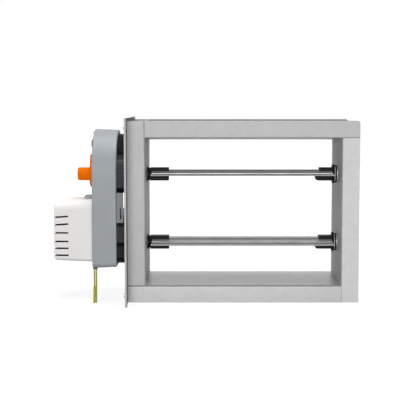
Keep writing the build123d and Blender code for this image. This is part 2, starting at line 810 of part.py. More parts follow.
with BuildPart() as actuator_case:
    loft([across(-case_out) * case_outline(), across(-base_out) * case_outline(case_shrink)])
    fillet(actuator_case.edges().group_by(Axis.X)[0], case_rim_r)
    with BuildSketch(across(-case_out + case_wall)):
        add(case_outline(case_wall + case_shrink))
        with Locations(*case_screw_spots):
            Circle(boss_r, mode=Mode.SUBTRACT)
    extrude(amount=case_out - case_wall - base_out, mode=Mode.SUBTRACT)
    with BuildSketch(across(-case_out + case_wall)):
        with Locations((axis_y, layshaft_z)):
            Circle(axle_r + 3)
    extrude(amount=case_out - case_wall - base_out - wheel_face[1] - 1.5)
    with BuildSketch(across(-case_out - board_post)):
        with Locations(*board_post_spots):
            Circle(axle_r)
    extrude(amount=board_post + case_wall / 2)
    with BuildSketch(across(-case_out)):
        with Locations((axis_y, upper_z)):
            Circle(end_bush_r)
        with Locations((axis_y, motor_z)):
            Circle(motor_r / 2)
        with Locations((axis_y, plug_z)):
            Circle(plug_r / 2)
        with Locations(*case_screw_spots):
            Circle(screw_r)
    extrude(amount=case_out - base_out, mode=Mode.SUBTRACT)
    with BuildSketch(across(-case_out)):
        with Locations(*sunk_screw_spots):
            Circle(screw_head_r + ring_gap)
    extrude(amount=screw_head_h, mode=Mode.SUBTRACT)
    with BuildSketch(across(-case_out + case_wall)):
        with Locations((axis_y, layshaft_z)):
            Circle(axle_r)
    extrude(amount=case_out - case_wall - base_out, mode=Mode.SUBTRACT)
    with BuildSketch(Plane.XY.offset(case_bottom)):
        with Locations(lead_exit):
            SlotOverall(grommet_len - 2 * grommet_neck, grommet_w - 2 * grommet_neck)
    extrude(amount=case_wall, mode=Mode.SUBTRACT)
save(actuator_case, "actuator_case")

with BuildPart() as case_screws:
    for spots, shank, head_h in (
        ([top_screw_spot], case_t, top_head_h),
        (sunk_screw_spots, case_t - screw_head_h, screw_head_h),
    ):
        case_screw = fastener(screw_r, shank, screw_head_r, head_h)
        with Locations(
            *[Plane(origin=(-base_in, y, z), x_dir=(0, 1, 0), z_dir=(-1, 0, 0)) for y, z in spots]
        ):
            add(case_screw)
save(case_screws, "case_screws")

with BuildPart() as base_bush:
    with BuildSketch(across(-base_out, upper_z, axis_y)):
        Circle(bush_r)
        Circle(shaft_r + running, mode=Mode.SUBTRACT)
    extrude(amount=base_t)
save(base_bush, "base_bush")

with BuildPart() as knob_bush:
    with BuildSketch(across(-case_out, upper_z, axis_y)):
        Circle(end_bush_r)
        Circle(shaft_end_r + running, mode=Mode.SUBTRACT)
    extrude(amount=case_wall)
    with BuildSketch(across(-case_out + case_wall, upper_z, axis_y)):
        Circle(end_bush_r + 2)
        Circle(shaft_end_r + running, mode=Mode.SUBTRACT)
    extrude(amount=case_wall)
save(knob_bush, "knob_bush")


# Gears
def gear_profile(teeth, tooth_at):
    """Gear outline with involute flanks and one tooth centred at the angle tooth_at."""
    pitch_r = module * teeth / 2
    base_r = pitch_r * cos(radians(pressure_angle))
    root_r = pitch_r - dedendum
    tip_radius = pitch_r + addendum
    half_pitch = pi / (2 * teeth) - backlash / (2 * pitch_r)
    roll = tan(radians(pressure_angle)) - radians(pressure_angle)

    def flank(r):
        """Half the tooth's angle at radius r."""
        if r <= base_r:
            return half_pitch + roll
        slope = acos(base_r / r)
        return half_pitch + roll - (tan(slope) - slope)

    radii = [root_r - 0.3, max(base_r, root_r), pitch_r, tip_radius]
    right = [(r * cos(-flank(r)), r * sin(-flank(r))) for r in radii]
    left = [(x, -y) for x, y in reversed(right)]
    with BuildSketch(mode=Mode.PRIVATE) as profile:
        Circle(root_r)
        with PolarLocations(0, teeth, tooth_at, 360.0):
            with BuildLine():
                Polyline(*right, *left, close=True)
            make_face()
    return profile.sketch


with BuildPart() as output_gear:
    low, thick = span(-1, base_out + output_face[0], base_out + output_face[1])
    with BuildSketch(across(low, upper_z, axis_y)):
        add(gear_profile(output_teeth, -90))
        with PolarLocations(22.0, 5):
            Circle(6.0, mode=Mode.SUBTRACT)
    extrude(amount=thick)
    low, thick = span(-1, base_out + ring_gap, base_out + output_face[1])
    with BuildSketch(across(low, upper_z, axis_y)):
        Circle(shaft_r + 5)
    extrude(amount=thick)
    with BuildSketch(across(low, upper_z, axis_y)):
        Circle(shaft_r)
    extrude(amount=thick, mode=Mode.SUBTRACT)
save(output_gear, "output_gear")

with BuildPart() as reduction_gear:
    low, thick = span(-1, base_out + pinion_face[0], base_out + pinion_face[1])
    with BuildSketch(across(low, layshaft_z, axis_y)):
        add(gear_profile(pinion_teeth, 90 + 180 / pinion_teeth))
    extrude(amount=thick)
    low, thick = span(-1, base_out + wheel_face[0], base_out + wheel_face[1])
    with BuildSketch(across(low, layshaft_z, axis_y)):
        add(gear_profile(wheel_teeth, -90))
        with PolarLocations(17.0, 5):
            Circle(4.5, mode=Mode.SUBTRACT)
    extrude(amount=thick)
    low, thick = span(-1, base_out + pinion_face[0], base_out + wheel_face[1])
    with BuildSketch(across(low, layshaft_z, axis_y)):
        Circle(axle_r + running)
    extrude(amount=thick, mode=Mode.SUBTRACT)
save(reduction_gear, "reduction_gear")

with BuildPart() as reduction_axle:
    low, thick = span(-1, base_in, case_out - case_wall)
    with BuildSketch(across(low, layshaft_z, axis_y)):
        Circle(axle_r)
    extrude(amount=thick)
save(reduction_axle, "reduction_axle")

with BuildPart() as motor_pinion:
    low, thick = span(-1, base_out + motor_pinion_face[0], base_out + motor_pinion_face[1])
    with BuildSketch(across(low, motor_z, axis_y)):
        add(gear_profile(motor_teeth, 90 + 180 / motor_teeth))
        Circle(motor_shaft_r, mode=Mode.SUBTRACT)
    extrude(amount=thick)
save(motor_pinion, "motor_pinion")

with BuildPart() as motor_shaft:
    low, thick = span(-1, base_out + motor_pinion_face[0], case_out + motor_len * 0.6)
    with BuildSketch(across(low, motor_z, axis_y)):
        Circle(motor_shaft_r)
    extrude(amount=thick)
save(motor_shaft, "motor_shaft")

with BuildPart() as gear_motor:
    low, thick = span(-1, case_out, case_out + motor_len)
    with BuildSketch(across(low, motor_z, axis_y)):
        Circle(motor_r)
    extrude(amount=thick)
    fillet(gear_motor.edges().filter_by(GeomType.CIRCLE).sort_by(Axis.X)[0], 2.0)
    low, thick = span(-1, case_out - case_wall, case_out)
    with BuildSketch(across(low, motor_z, axis_y)):
        Circle(motor_r / 2)
    extrude(amount=thick)
    low, thick = span(-1, case_out + motor_len, case_out + motor_len + 3)
    with BuildSketch(across(low, motor_z, axis_y)):
        Circle(motor_r / 3)
    extrude(amount=thick)
    low, thick = span(-1, case_out - case_wall, case_out + motor_len * 0.6 + ring_gap)
    with BuildSketch(across(low, motor_z, axis_y)):
        Circle(motor_shaft_r + running)
    extrude(amount=thick, mode=Mode.SUBTRACT)
save(gear_motor, "gear_motor")

# Control board on the case's posts, with the motor standing through it
board_in = case_out + board_post
board_out = board_in + board_t
with BuildPart() as control_board:
    with BuildSketch(across(-board_out)):
        with Locations((axis_y, cover_mid)):
            Rectangle(board_w, board_h)
        with Locations((axis_y, motor_z)):
            Circle(motor_r + 1, mode=Mode.SUBTRACT)
    extrude(amount=board_t)
save(control_board, "control_board")

with BuildPart() as board_components:
    with BuildSketch(across(-board_out - part_h, cover_mid, axis_y)):
        with Locations((-board_w * 0.3, board_h * 0.3)):
            Rectangle(board_w * 0.22, board_h * 0.16)
        with Locations((board_w * 0.3, board_h * 0.34), (board_w * 0.3, board_h * 0.14)):
            Circle(board_w * 0.07)
        with Locations((0, -board_h * 0.4)):
            Rectangle(board_w * 0.5, board_h * 0.1)
        with Locations((-board_w * 0.38, -board_h * 0.1)):
            Rectangle(board_w * 0.14, board_h * 0.2)
    extrude(amount=part_h)
save(board_components, "board_components")

# White vented cover
def cover_section(out, inset):
    """Rounded section of the cover at a distance out from the case, drawn inward by inset."""
    shrink = inset + out * tan(radians(cover_draft))
    with BuildSketch(across(-case_out - out, cover_mid, axis_y)) as outline:
        Rectangle(cover_w - 2 * shrink, cover_top - cover_bottom - 2 * shrink)
        fillet(outline.vertices().group_by(Axis.Y)[-1], cover_top_r - inset)
        fillet(outline.vertices().group_by(Axis.Y)[0], cover_low_r - inset)
    return outline.sketch


with BuildPart() as vent_cover:
    loft([cover_section(0, 0), cover_section(cover_depth, 0)])
    fillet(vent_cover.edges().group_by(Axis.X)[0], cover_crown_r)
    loft(
        [cover_section(0, cover_wall), cover_section(cover_depth - cover_wall, cover_wall)],
        mode=Mode.SUBTRACT,
    )
    for vent_z, tilt in vents:
        for side in (-1, 1):
            slot_at = Vector(-case_out - cover_depth + vent_len / 2 - 1, axis_y + side * cover_w / 2, vent_z)
            with Locations(Location(slot_at, (0, -tilt, 0))):
                Box(vent_len + 2, 2 * vent_wrap, vent_h, mode=Mode.SUBTRACT)
save(vent_cover, "vent_cover")

with BuildPart() as cover_latch:
    with BuildSketch(across(-case_out - latch_l)):
        with Locations((axis_y, cover_top + ring_gap)):
            Rectangle(latch_w, latch_h, align=(Align.CENTER, Align.MIN))
    extrude(amount=latch_l)
    fillet(cover_latch.edges().filter_by(Axis.Z), 1.0)
save(cover_latch, "cover_latch")

# Orange knob with a pointer, on the end of the drive shaft
with BuildPart() as override_knob:
    low, thick = span(-1, knob_in, knob_disc_out)
    with BuildSketch(across(low, upper_z, axis_y)):
        Circle(knob_disc_r)
        with BuildSketch(mode=Mode.PRIVATE) as lobe:
            Circle(knob_disc_r * 0.8)
            with Locations((0, pointer_reach - pointer_r)):
                Circle(pointer_r)
            make_hull()
        add(lobe.sketch)
    extrude(amount=thick)
    fillet(override_knob.faces().sort_by(Axis.X)[0].outer_wire().edges(), 2.0)
    low, thick = span(-1, knob_disc_out, knob_out)
    with BuildSketch(across(low, upper_z, axis_y)):
        Circle(knob_r)
    extrude(amount=thick)
    fillet(override_knob.edges().filter_by(GeomType.CIRCLE).sort_by(Axis.X)[0], 2.4)
    low, thick = span(-1, knob_in, shaft_tip)
    with BuildSketch(across(low, upper_z, axis_y)):
        Circle(shaft_end_r)
    extrude(amount=thick, mode=Mode.SUBTRACT)
save(override_knob, "override_knob")

with BuildPart() as blanking_plug:
    low, thick = span(-1, case_out, case_out + plug_h)
    with BuildSketch(across(low, plug_z, axis_y)):
        Circle(plug_r)
    extrude(amount=thick)
    fillet(blanking_plug.edges().filter_by(GeomType.CIRCLE).sort_by(Axis.X)[0], plug_h * 0.85)
    low, thick = span(-1, case_out - case_wall, case_out)
    with BuildSketch(across(low, plug_z, axis_y)):
        Circle(plug_r / 2)
    extrude(amount=thick)
save(blanking_plug, "blanking_plug")

# Grommet and the two leads that hang from it
with BuildPart() as lead_grommet:
    with BuildSketch(Plane.XY.offset(case_bottom - grommet_flange)):
        with Locations(lead_exit):
            SlotOverall(grommet_len, grommet_w)
    extrude(amount=grommet_flange)
    with BuildSketch(Plane.XY.offset(case_bottom)):
        with Locations(lead_exit):
            SlotOverall(grommet_len - 2 * grommet_neck, grommet_w - 2 * grommet_neck)
    extrude(amount=case_wall)
save(lead_grommet, "lead_grommet")

exit_z = case_bottom - grommet_flange
lead_points = [(0, 0, 0), (0.1, -0.6, -15.5), (0.8, -9.0, -32.5), (1.6, -22.0, -48.8)]


def lead_route(shift):
    """Route of one lead, from the grommet down."""
    return [Vector(lead_exit[0] + shift + x, lead_exit[1] + y, exit_z + z) for x, y, z in lead_points]


def corner_radii(points):
    """The largest smooth arc that each corner of a route has room for."""
    radii = []
    for before, here, after in zip(points, points[1:], points[2:]):
        turn = (here - before).get_angle(after - here)
        shorter = min((here - before).length, (after - here).length)
        radii.append(0.45 * shorter / tan(radians(turn / 2)))
    return radii


def lead_path(points):
    """Runs and tangent arcs of one lead."""
    radii = corner_radii(points)
    print("lead radii", [round(r, 1) for r in radii])
    with BuildLine(mode=Mode.PRIVATE):
        path = FilletPolyline(*points, radius=radii)
    return path


def along_lead(path, outer_r, inner_r=0.0):
    """Round cord or tube along a path."""
    with BuildPart() as tube:
        with BuildSketch(Plane(origin=path @ 0, x_dir=(1, 0, 0), z_dir=path % 0)):
            Circle(outer_r)
            if inner_r:
                Circle(inner_r, mode=Mode.SUBTRACT)
        sweep(path=path)
    filled = tube.part.volume / (pi * (outer_r**2 - inner_r**2) * path.length)
    print("length", round(path.length, 2), "volume ratio", round(filled, 4))
    return tube


left_path = lead_path(lead_route(-lead_spread / 2))
right_path = lead_path(lead_route(lead_spread / 2))
save(along_lead(left_path, lead_r), "left_lead")
save(along_lead(right_path, lead_r), "right_lead")

# End sleeve on the lower part of the left lead
sleeve_path = left_path.trim(sleeve_from, 1.0)
save(along_lead(sleeve_path, sleeve_r, lead_r), "lead_sleeve")
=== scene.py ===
# %% [markdown]
# # A motorised duct damper
# A galvanised sheet frame holds two linked blades, and an actuator on its left side turns them.
# The CAD model gives the shapes and the places. This script gives every piece its finish, adds
# the few pieces that are easier as a curve or a mesh, and sets up the floor, the light and the
# camera. All lengths are metres in the CAD model's own frame, unless a name ends in MM.

# %% Load the frame
from math import cos, pi, radians, sin

import bmesh
import bpy
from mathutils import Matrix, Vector


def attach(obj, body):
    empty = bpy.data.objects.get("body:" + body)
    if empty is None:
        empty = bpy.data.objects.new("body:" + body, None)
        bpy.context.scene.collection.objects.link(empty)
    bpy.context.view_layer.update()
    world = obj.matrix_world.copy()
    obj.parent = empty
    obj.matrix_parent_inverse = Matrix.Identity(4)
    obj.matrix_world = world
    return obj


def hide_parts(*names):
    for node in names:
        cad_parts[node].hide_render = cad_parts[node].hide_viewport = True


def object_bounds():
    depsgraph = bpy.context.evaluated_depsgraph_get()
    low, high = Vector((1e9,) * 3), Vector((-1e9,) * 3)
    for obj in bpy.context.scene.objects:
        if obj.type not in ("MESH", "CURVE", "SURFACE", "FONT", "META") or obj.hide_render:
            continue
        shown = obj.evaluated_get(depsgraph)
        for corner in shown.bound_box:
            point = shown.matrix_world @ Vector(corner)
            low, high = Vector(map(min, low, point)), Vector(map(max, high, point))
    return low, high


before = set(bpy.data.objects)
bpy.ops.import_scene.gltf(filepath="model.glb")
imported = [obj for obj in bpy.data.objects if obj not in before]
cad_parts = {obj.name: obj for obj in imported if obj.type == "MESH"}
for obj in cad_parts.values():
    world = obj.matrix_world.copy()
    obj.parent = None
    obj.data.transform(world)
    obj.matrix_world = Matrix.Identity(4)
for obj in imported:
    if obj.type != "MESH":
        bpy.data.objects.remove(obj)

cad_low, cad_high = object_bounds()

# %% [markdown]
# ## Colours and nodes
# Colours are easiest to compare with a photograph as sRGB hex values, but a shader works in
# linear light. One function turns the first into the second, so every colour below is a hex
# value. Another adds a shader node with its values and links in one call, so that a material
# reads as a short list of its parts.

# %% Helpers for colours and nodes
def paint(hex_code):
    """Linear colour of an sRGB hex value such as "9a9ea1"."""
    parts = [int(hex_code[i:i + 2], 16) / 255 for i in (0, 2, 4)]
    linear = [c / 12.92 if c <= 0.04045 else ((c + 0.055) / 1.055) ** 2.4 for c in parts]
    return (*linear, 1.0)


def darker(colour, share):
    """A linear colour at a share of its brightness."""
    return (*(part * share for part in colour[:3]), 1.0)


def add_node(tree, kind, inputs=None, links=None, **settings):
    """Add a shader node with its settings, its socket values and the outputs that feed it."""
    made = tree.nodes.new(kind)
    for name, value in settings.items():
        setattr(made, name, value)
    for socket, value in (inputs or {}).items():
        made.inputs[socket].default_value = value
    for socket, output in (links or {}).items():
        tree.links.new(output, made.inputs[socket])
    return made


def start_material(name):
    """Empty material, its node tree, and the object's own coordinates in metres."""
    material = bpy.data.materials.new(name)
    material.use_nodes = True
    tree = material.node_tree
    tree.nodes.clear()
    place = add_node(tree, "ShaderNodeTexCoord").outputs["Object"]
    return material, tree, place


def finish_material(tree, shader):
    """Join a shader to the material's output."""
    add_node(tree, "ShaderNodeOutputMaterial", links={"Surface": shader.outputs[0]})


print("helpers ready")

# %% [markdown]
# ## The parts that finishes share
# Most real finishes are made of the same few things: a noise of some width, a colour that runs
# between two tones, a gloss that varies a little, and a fine relief. An image could hold all of
# that, but noise has no seams and no resolution. So each of the four gets a function.

# %% Noise, tones, range and relief
MM_IN_M = 1000


def noise(tree, place, width_mm, detail, **more):
    """Output of a noise whose spots are about width_mm wide."""
    values = {"Scale": MM_IN_M / width_mm, "Detail": detail, **more}
    return add_node(tree, "ShaderNodeTexNoise", values, {"Vector": place}).outputs["Fac"]


def tones(tree, source, stops, interpolation="LINEAR"):
    """Colour that follows an output through stops of position and linear colour."""
    node = add_node(tree, "ShaderNodeValToRGB", links={"Fac": source})
    ramp = node.color_ramp
    ramp.interpolation = interpolation
    while len(ramp.elements) < len(stops):
        ramp.elements.new(1.0)
    for element, (position, colour) in zip(ramp.elements, stops):
        element.position = position
        element.color = colour
    return node.outputs["Color"]


def spread(tree, source, low, high, start=0.0, end=1.0):
    """Output that runs from low to high while its source runs from start to end."""
    values = {"From Min": start, "From Max": end, "To Min": low, "To Max": high}
    return add_node(tree, "ShaderNodeMapRange", values, {"Value": source}).outputs[0]


def relief(tree, height, strength, depth_mm):
    """Normal of a fine relief that follows an output."""
    values = {"Strength": strength, "Distance": depth_mm / MM_IN_M}
    return add_node(tree, "ShaderNodeBump", values, {"Height": height}).outputs[0]


print("shared parts ready")

# %% [markdown]
# ## Hot-dip galvanised sheet
# The frame, the blades and the side plate are folded from galvanised steel sheet. Zinc that freezes
# on the steel leaves flat crystals, the spangle, a few millimetres across. On modern sheet they
# hardly differ in colour, more in how dull they are. A Voronoi pattern has cells of that kind: each
# cell gets its own small shift of brightness and of roughness. A wide, soft noise adds the cloudy
# stains of handling. The sheets differ in gloss and in brightness, and some of the brightness is
# painted: the right rail and the stop strip are lighter as painted light, and the bends, the rims
# and the plate's inner side darker as painted shade.

# %% Galvanised sheet
SPANGLE_MM = 7.0
SPANGLE_SHARE = 0.30
CLOUD_MM = 60.0
ZINC_GRAIN_MM = 1.5
ZINC_RELIEF_MM = 0.3
DARK_AT, LIGHT_AT = 0.40, 0.90


def galvanised(name, dark, light, metallic, roughness, gleam=0.2, relief_strength=0.05):
    """Zinc-coated sheet with a faint spangle and cloudy stains; gleam is the specular level."""
    material, tree, place = start_material(name)
    scale = {"Scale": MM_IN_M / SPANGLE_MM}
    cells = add_node(tree, "ShaderNodeTexVoronoi", scale, {"Vector": place}).outputs["Color"]
    cell = add_node(tree, "ShaderNodeSeparateColor", links={"Color": cells}).outputs
    crystals = add_node(
        tree, "ShaderNodeMath", {1: SPANGLE_SHARE}, {0: cell["Red"]}, operation="MULTIPLY"
    ).outputs[0]
    clouds = noise(tree, place, CLOUD_MM, detail=5.0, Roughness=0.6)
    both = add_node(
        tree, "ShaderNodeMath", links={0: clouds, 1: crystals}, operation="ADD"
    ).outputs[0]
    grain = noise(tree, place, ZINC_GRAIN_MM, detail=3.0)
    shader = add_node(
        tree, "ShaderNodeBsdfPrincipled", {"Metallic": metallic, "Specular IOR Level": gleam}, {
            "Base Color": tones(tree, both, [(DARK_AT, paint(dark)), (LIGHT_AT, paint(light))]),
            "Roughness": spread(tree, cell["Green"], roughness - 0.02, roughness + 0.03),
            "Normal": relief(tree, grain, relief_strength, ZINC_RELIEF_MM),
        },
    )
    finish_material(tree, shader)
    return material


duct_zinc = galvanised("galvanised duct sheet", "b8b8b8", "bebebe", metallic=0.12, roughness=0.56)
blade_zinc = galvanised(
    "galvanised blade sheet", "acacac", "b6b6b6", metallic=0.05, roughness=0.65, gleam=0.05
)
ridge_zinc = galvanised(
    "rolled blade ridge", "b8b8b8", "c2c2c2", metallic=0.55, roughness=0.30, relief_strength=0.01
)
# The right rail's sheet is painted light: the same zinc made lighter, as more light falls on the
# duct's right side.
right_rail_painted_light_zinc = galvanised("galvanised right side with painted light", "d6d6d6", "dedede", metallic=0.05, roughness=0.62)
sill_zinc = galvanised(
    "galvanised duct floor", "a6a6a6", "aeaeae", metallic=0.20, roughness=0.34, gleam=0.8
)
plate_zinc = galvanised("galvanised side plate", "c4c4c4", "cccccc", metallic=0.0, roughness=0.75)
# Darker zinc for bends, rims and the rear flange's inside: painted shade.
bend_painted_shade_zinc = galvanised(
    "zinc with painted shade at bends", "8c8c8c", "949494", metallic=0.05, roughness=0.62, gleam=0.1
)
# Darker zinc for the side plate's inner face: painted shade for the gap beside the flange.
plate_inner_painted_shade_zinc = galvanised(
    "painted shade on the plate's inner side", "6a6a6a", "727272", metallic=0.0, roughness=0.75, gleam=0.1
)
# The stop strip is painted light: far paler than its zinc, to stand for the light it loses in the
# top rail's shadow.
stop_strip_painted_light_zinc = galvanised("stop strip with painted light", "eeeeee", "f4f4f4", metallic=0.05, roughness=0.60)
print("galvanised sheet", SPANGLE_MM, "mm spangle")

# %% [markdown]
# ## Plated and turned metal
# Rivets, screws and rings are zinc plated: a finer, cleaner grey than the sheet. Shafts and pins
# are turned, so their marks run round them: a noise that is squeezed along the shaft looks like
# that. The motor's drawn can has marks along it instead, and sintered bronze has only pores.

# %% Small metal parts
MARK_SHADE = 0.82
MARK_RELIEF_MM = 0.2


def plated(name, colour, metallic, roughness, mark_mm, squeeze=1.0):
    """Metal with fine marks; squeeze above 1 narrows them along x, the shafts' direction."""
    material, tree, place = start_material(name)
    scale = {"Scale": (squeeze, 1.0, 1.0)}
    squeezed = add_node(tree, "ShaderNodeMapping", scale, {"Vector": place}).outputs[0]
    marks = noise(tree, squeezed, mark_mm, detail=4.0)
    base = paint(colour)
    shader = add_node(
        tree, "ShaderNodeBsdfPrincipled", {"Metallic": metallic}, {
            "Base Color": tones(tree, marks, [(0.3, darker(base, MARK_SHADE)), (0.7, base)]),
            "Roughness": spread(tree, marks, roughness - 0.06, roughness + 0.08),
            "Normal": relief(tree, marks, 0.08, MARK_RELIEF_MM),
        },
    )
    finish_material(tree, shader)
    return material


zinc_plate = plated("zinc plated steel", "c4c5c6", metallic=0.8, roughness=0.38, mark_mm=1.2)
turned_steel = plated(
    "turned bright steel", "bfc0c2", metallic=1.0, roughness=0.28, mark_mm=0.6, squeeze=6.0
)
ring_steel = plated("blackened steel ring", "3a3a3c", metallic=0.3, roughness=0.50, mark_mm=1.2)
# The motor can's dark colour is painted shade: it is darkened so that it reads black through the
# cover's slots, where the inside lies in shade.
motor_can_painted_shade = plated(
    "motor can darkened as painted shade", "2c2c2e", metallic=0.4, roughness=0.50, mark_mm=2.0, squeeze=0.3
)
bush_bronze = plated("sintered bronze", "a98a5f", metallic=0.9, roughness=0.50, mark_mm=0.5)
print("steel and bronze ready")

# %% [markdown]
# ## Moulded plastics and rubber
# The blade ends are black nylon, the cover is white ABS and the knob orange ABS. A moulded skin
# is never quite even: a fine spark-eroded grain gives the satin look, and a slow noise changes
# tone and gloss a little, as handling does. The two together keep the surface from looking like a
# flat fill.

# %% Moulded plastics
HANDLED_MM = 25.0
MOULD_RELIEF_MM = 0.1


def moulded(name, colour, roughness, grain_mm, grain, ior=1.50, shade=0.9, gleam=0.5):
    """Plastic with an eroded grain; shade is its darkest tone, gleam the specular level."""
    material, tree, place = start_material(name)
    slow = noise(tree, place, HANDLED_MM, detail=4.0)
    base = paint(colour)
    fine = noise(tree, place, grain_mm, detail=2.0)
    shader = add_node(
        tree, "ShaderNodeBsdfPrincipled", {"IOR": ior, "Specular IOR Level": gleam}, {
            "Base Color": tones(tree, slow, [(0.3, darker(base, shade)), (0.65, base)]),
            "Roughness": spread(tree, slow, roughness - 0.05, roughness + 0.07),
            "Normal": relief(tree, fine, grain, MOULD_RELIEF_MM),
        },
    )
    finish_material(tree, shader)
    return material


black_nylon = moulded(
    "black glass-filled nylon", "0e0e0f", 0.52, grain_mm=0.6, grain=0.25, ior=1.53, gleam=0.12
)
pale_nylon = moulded("natural nylon washer", "c9c9c6", 0.45, grain_mm=0.6, grain=0.15, ior=1.53)
white_abs = moulded(
    "white ABS cover", "f4f1ef", 0.48, grain_mm=0.7, grain=0.10, ior=1.52, shade=0.985, gleam=0.25
)
orange_abs = moulded(
    "orange ABS knob", "ee7400", 0.52, grain_mm=0.7, grain=0.10, shade=0.97, gleam=0.03
)
dark_plug = moulded("dark moulded plug", "45464a", 0.40, grain_mm=0.6, grain=0.12)
gear_acetal = moulded("natural acetal gear", "dcd8cc", 0.34, grain_mm=0.5, grain=0.10, ior=1.48)
black_rubber = moulded("black moulded rubber", "1c1c1c", 0.62, grain_mm=0.4, grain=0.25, ior=1.52)
lead_pvc = moulded(
    "yellow PVC insulation", "aca624", 0.45, grain_mm=0.8, grain=0.12, ior=1.53, gleam=0.15
)
sleeve_pvc = moulded(
    "yellow PVC sleeve", "b0aa2c", 0.48, grain_mm=0.8, grain=0.15, ior=1.53, gleam=0.15
)
print("plastics ready")

# %% [markdown]
# ## Black standoffs with bands
# The two moulded standoffs are black, with level bands painted over the black: the paler bands are
# painted light where ribs and steps catch the light, and the near-black bands are painted shade in
# the grooves. The ribs are finer in the photograph than in the CAD model. The bands run level, so a
# colour ramp over the height draws them: each stop is a height in millimetres and the tone from
# there up. The ramp is constant between its stops, which gives the bands their sharp edges.

# %% Banded nylon with painted light and shade
BAND_GRAIN = 0.2
LIGHT_AND_SHADE_BANDS_MM = [
    (-80.0, "303032"), (-76.1, "0c0c0d"), (-71.5, "2c2c2e"), (-54.5, "0c0c0d"),
    (-48.3, "414143"), (-23.4, "1a1a1b"), (20.0, "0c0c0d"), (35.4, "4a4a4c"),
    (74.4, "5a5a5c"), (79.0, "38383a"), (85.9, "0c0c0d"), (91.2, "161617"),
]


def banded(name, bands, roughness, grain_mm):
    """Moulded black plastic with level bands painted over it: the paler bands are painted light,
    the near-black ones painted shade.
    """
    material, tree, place = start_material(name)
    low, high = bands[0][0], bands[-1][0]
    height = add_node(tree, "ShaderNodeSeparateXYZ", links={"Vector": place}).outputs["Z"]
    level = spread(tree, height, 0.0, 1.0, start=low / MM_IN_M, end=high / MM_IN_M)
    stops = [((at_mm - low) / (high - low), paint(colour)) for at_mm, colour in bands]
    fine = noise(tree, place, grain_mm, detail=2.0)
    values = {"Roughness": roughness, "IOR": 1.53, "Specular IOR Level": 0.03}
    shader = add_node(tree, "ShaderNodeBsdfPrincipled", values, {
        "Base Color": tones(tree, level, stops, "CONSTANT"),
        "Normal": relief(tree, fine, BAND_GRAIN, MOULD_RELIEF_MM),
    })
    finish_material(tree, shader)
    return material


standoff_painted_bands_nylon = banded("black standoff with painted light and shade bands", LIGHT_AND_SHADE_BANDS_MM, roughness=0.55, grain_mm=0.8)
print("standoff plastic", len(LIGHT_AND_SHADE_BANDS_MM), "bands")

# %% [markdown]
# ## Grey enamel on the actuator
# The case is a casting with a smooth grey enamel. Sprayed enamel dries with a slight orange peel,
# waves about two millimetres wide, which breaks up its highlights. A low relief of that size does
# it, under a soft satin gloss. Modelling the waves would cost many faces for the same look.

# %% Enamel
PEEL_MM = 2.2
PEEL_RELIEF_MM = 0.2
FADED_MM = 40.0
FADED_SHADE = 0.94


def enamel(name, colour, roughness):
    """Sprayed enamel with orange peel."""
    material, tree, place = start_material(name)
    base = paint(colour)
    slow = noise(tree, place, FADED_MM, detail=4.0)
    peel = noise(tree, place, PEEL_MM, detail=1.5)
    shader = add_node(
        tree, "ShaderNodeBsdfPrincipled", {"Roughness": roughness, "IOR": 1.52}, {
            "Base Color": tones(tree, slow, [(0.3, darker(base, FADED_SHADE)), (0.7, base)]),
            "Normal": relief(tree, peel, 0.10, PEEL_RELIEF_MM),
        },
    )
    finish_material(tree, shader)
    return material


grey_enamel = enamel("grey sprayed enamel", "94999d", roughness=0.52)
latch_enamel = enamel("grey enamelled latch", "8d9093", roughness=0.42)
stay_enamel = enamel("grey enamelled stay", "74787b", roughness=0.50)
print("enamel ready")

# %% [markdown]
# ## Circuit board
# Inside the cover is a control board. Green solder resist covers the laminate, and the copper
# tracks under it show as slightly lighter, mostly straight lines. A Brick texture gives such
# lines, once it is turned into the board's plane.

# %% Board laminate
laminate, tree, place = start_material("green board laminate")
quarter_turn = {"Rotation": (0, pi / 2, 0)}
turned = add_node(tree, "ShaderNodeMapping", quarter_turn, {"Vector": place}).outputs[0]
track_look = {
    "Scale": 60.0, "Mortar Size": 0.02,
    "Color1": paint("1f5a35"), "Color2": paint("235f3a"), "Mortar": paint("3f8a55"),
}
tracks = add_node(tree, "ShaderNodeTexBrick", track_look, {"Vector": turned}).outputs["Color"]
resist = add_node(
    tree, "ShaderNodeBsdfPrincipled", {"Roughness": 0.3, "IOR": 1.55}, {"Base Color": tracks}
)
finish_material(tree, resist)
print("laminate ready")

# %% [markdown]
# ## Dress the CAD nodes
# Each node of the CAD model keeps its mesh and gets the material of the real piece; the right rail,
# the stop strip and the motor can get lighter or darker copies that carry painted light and painted
# shade. The table below reads like a parts list: a finish, and the pieces that have it. A table is
# easier to check against the photograph than a line of code for every piece.

